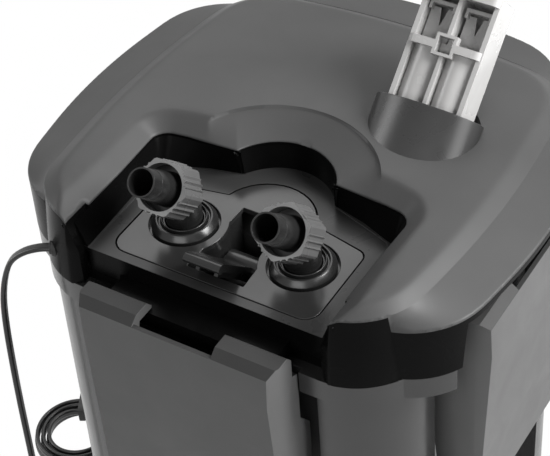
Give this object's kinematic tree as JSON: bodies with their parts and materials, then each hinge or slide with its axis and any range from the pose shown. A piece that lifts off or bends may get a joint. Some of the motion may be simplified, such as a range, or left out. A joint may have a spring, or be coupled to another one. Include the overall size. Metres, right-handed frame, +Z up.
{
  "type": "canister filter",
  "caption": "External canister filter for an aquarium, with four clips, a lift-out hose tap block, three media baskets and a pull-out prefilter",
  "frame": {"origin": "The middle of the plane on which the canister's feet stand", "axes": "+Z up through the head, -Y toward the side with the hose taps, +X to the right seen from that side"},
  "size_m": [0.3811, 0.2676, 0.4368],
  "materials": {
    "black_abs": "black satin ABS, fine texture",
    "black_inner": "black moulded plastic inside",
    "head_abs": "black satin ABS of the cap",
    "clip_abs": "black satin to glossy plastic",
    "grey_abs": "mid-grey moulded plastic",
    "pale_abs": "light-grey moulded plastic",
    "rubber": "black rubber",
    "seal_rubber": "dark-grey silicone rubber",
    "steel": "stainless steel",
    "copper": "copper windings",
    "magnet": "ferrite magnet",
    "ceramic": "off-white ceramic",
    "foam_blue": "coarse blue filter foam",
    "foam_white": "fine white filter pad",
    "foam_grey": "grey prefilter foam",
    "cord_pvc": "black flexible PVC",
    "pin_brass": "nickel-plated brass"
  },
  "bodies": {
    "canister": {"canister_body": "black_abs", "canister_feet": "rubber", "clip_pins": "steel", "riser_tube": "black_inner", "basket_lower": "black_inner", "basket_middle": "black_inner", "basket_upper": "black_inner", "ceramic_rings": "ceramic", "foam_coarse": "foam_blue", "foam_fine": "foam_white", "head_base": "black_inner", "head_seal": "seal_rubber", "head_cover": "head_abs", "cover_screws": "steel", "tap_tray": "black_abs", "motor_housing": "black_inner", "stator": "copper", "rotor_shaft": "ceramic", "shaft_bush_upper": "seal_rubber", "shaft_bush_lower": "seal_rubber", "volute_cover": "black_inner", "volute_screws": "steel", "outlet_duct": "black_inner", "prefilter_port": "black_abs", "cord_grommet": "rubber", "power_cord": "cord_pvc", "cord_coil": "cord_pvc", "cord_tie": "cord_pvc", "power_plug": "cord_pvc", "plug_pins": "pin_brass"},
    "clip_front": {"clip_front": "clip_abs"},
    "clip_right": {"clip_right": "clip_abs"},
    "clip_rear": {"clip_rear": "clip_abs"},
    "clip_left": {"clip_left": "clip_abs"},
    "tap_block": {"tap_plate": "black_abs", "tap_body": "black_inner", "swivel_ring_left": "clip_abs", "swivel_ring_right": "clip_abs", "spigot_seals": "seal_rubber"},
    "lever": {"tap_lever": "clip_abs", "lever_shaft": "steel", "valve_barrel_left": "grey_abs", "valve_barrel_right": "grey_abs"},
    "elbow_left": {"elbow_left": "clip_abs"},
    "elbow_right": {"elbow_right": "clip_abs"},
    "nut_left": {"hose_nut_left": "grey_abs"},
    "nut_right": {"hose_nut_right": "grey_abs"},
    "prefilter": {"prefilter_frame": "pale_abs", "prefilter_sponges": "foam_grey", "prefilter_flap_left": "pale_abs", "prefilter_flap_right": "pale_abs", "prefilter_seal": "seal_rubber"},
    "rotor": {"rotor_magnet": "magnet", "impeller": "grey_abs"}
  },
  "joints": [
    {"name": "clip_front_hinge", "type": "hinge", "parent": "canister", "child": "clip_front", "pos_m": [0, -0.108, 0.222], "axis": [1, 0, 0], "range_deg": [0, 75]},
    {"name": "clip_right_hinge", "type": "hinge", "parent": "canister", "child": "clip_right", "pos_m": [0.108, 0, 0.222], "axis": [0, 1, 0], "range_deg": [0, 75]},
    {"name": "clip_rear_hinge", "type": "hinge", "parent": "canister", "child": "clip_rear", "pos_m": [0, 0.108, 0.222], "axis": [-1, 0, 0], "range_deg": [0, 75]},
    {"name": "clip_left_hinge", "type": "hinge", "parent": "canister", "child": "clip_left", "pos_m": [-0.108, 0, 0.222], "axis": [0, -1, 0], "range_deg": [0, 75]},
    {"name": "tap_block_lift", "type": "slide", "parent": "canister", "child": "tap_block", "axis": [0, 0, 1], "range_m": [0, 0.04]},
    {"name": "lever_hinge", "type": "hinge", "parent": "tap_block", "child": "lever", "pos_m": [0, -0.061, 0.344], "axis": [-1, 0, 0], "range_deg": [0, 75]},
    {"name": "elbow_left_swivel", "type": "hinge", "parent": "tap_block", "child": "elbow_left", "pos_m": [-0.033, -0.061, 0.36], "axis": [0, 0, 1], "range_deg": [-90, 25]},
    {"name": "elbow_right_swivel", "type": "hinge", "parent": "tap_block", "child": "elbow_right", "pos_m": [0.033, -0.061, 0.36], "axis": [0, 0, 1], "range_deg": [-25, 90]},
    {"name": "nut_left_spin", "type": "hinge", "parent": "elbow_left", "child": "nut_left", "pos_m": [-0.033, -0.061, 0.3787], "axis": [0, -0.7071, 0.7071], "continuous": true},
    {"name": "nut_right_spin", "type": "hinge", "parent": "elbow_right", "child": "nut_right", "pos_m": [0.033, -0.061, 0.3787], "axis": [0, -0.7071, 0.7071], "continuous": true},
    {"name": "prefilter_slide", "type": "slide", "parent": "canister", "child": "prefilter", "axis": [0, 0.7431, 0.6691], "range_m": [-0.045, 0.02]},
    {"name": "rotor_spin", "type": "hinge", "parent": "canister", "child": "rotor", "pos_m": [-0.038, 0.044, 0.337], "axis": [0, 0, 1], "continuous": true}
  ]
}
